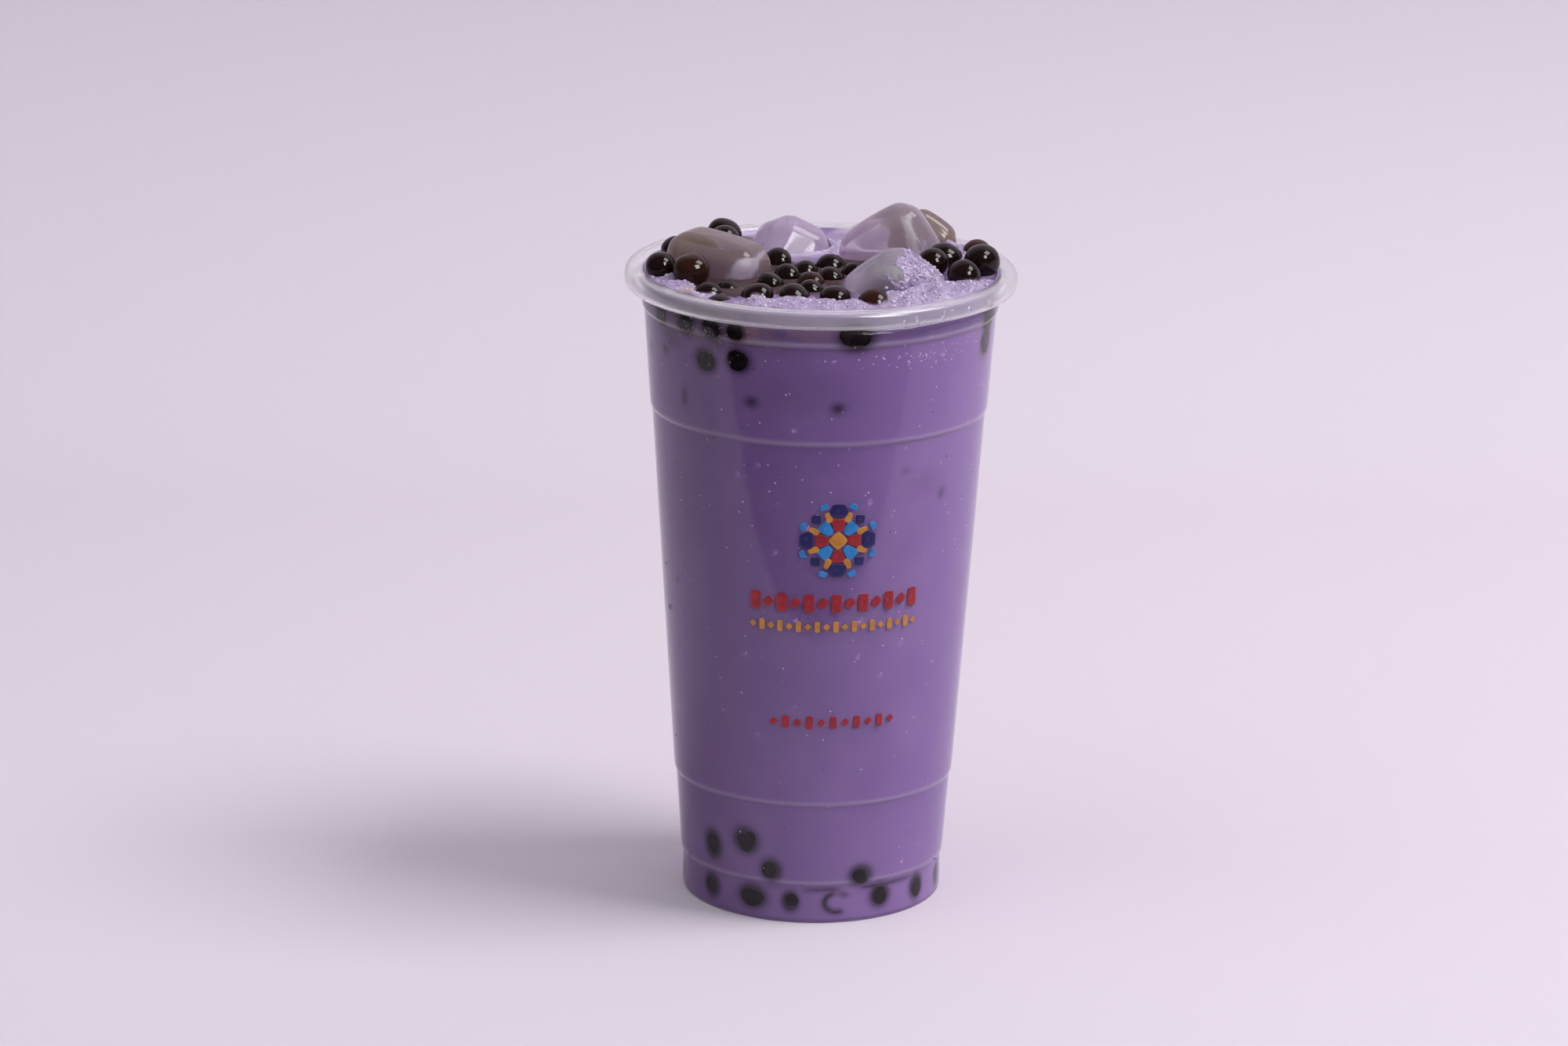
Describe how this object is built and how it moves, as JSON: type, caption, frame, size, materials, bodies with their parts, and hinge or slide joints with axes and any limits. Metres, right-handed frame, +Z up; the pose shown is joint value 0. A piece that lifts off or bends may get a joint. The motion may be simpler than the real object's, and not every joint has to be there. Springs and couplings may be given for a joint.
{
  "type": "ube milk tea",
  "caption": "Ube milk tea in a clear takeaway cup with a rolled rim, filled to the brim, with ice cubes, tapioca pearls and froth on top.",
  "frame": {"origin": "centre of the cup's base, on the surface that it stands on", "axes": "+Z up along the cup's axis; the printed front faces -Y; +X is to the right seen from the front"},
  "size_m": [0.095, 0.095, 0.17],
  "materials": {
    "clear_cup": "clear, glossy",
    "milk_tea": "smooth liquid",
    "froth": "fine bubbles",
    "ice": "wet, cloudy",
    "pearl": "wet, glossy",
    "print": "printed ink"
  },
  "bodies": {
    "root": {"cup": "clear_cup", "froth_back": "froth", "froth_front": "froth", "froth_left": "froth", "froth_right": "froth", "ice_back": "ice", "ice_far": "ice", "ice_front": "ice", "ice_left": "ice", "ice_middle": "ice", "milk_tea": "milk_tea", "pearl_back_1": "pearl", "pearl_back_2": "pearl", "pearl_back_3": "pearl", "pearl_back_4": "pearl", "pearl_front_1": "pearl", "pearl_front_2": "pearl", "pearl_front_3": "pearl", "pearl_front_4": "pearl", "pearl_front_5": "pearl", "pearl_front_left_1": "pearl", "pearl_front_left_2": "pearl", "pearl_front_left_3": "pearl", "pearl_front_left_4": "pearl", "pearl_front_left_5": "pearl", "pearl_left_1": "pearl", "pearl_left_2": "pearl", "pearl_left_3": "pearl", "pearl_middle_1": "pearl", "pearl_middle_2": "pearl", "pearl_middle_3": "pearl", "pearl_middle_4": "pearl", "pearl_middle_5": "pearl", "pearl_middle_6": "pearl", "pearl_middle_7": "pearl", "pearl_right_1": "pearl", "pearl_right_2": "pearl", "pearl_right_3": "pearl", "pearl_right_4": "pearl", "pearl_right_5": "pearl", "pearl_right_6": "pearl"}
  },
  "joints": []
}
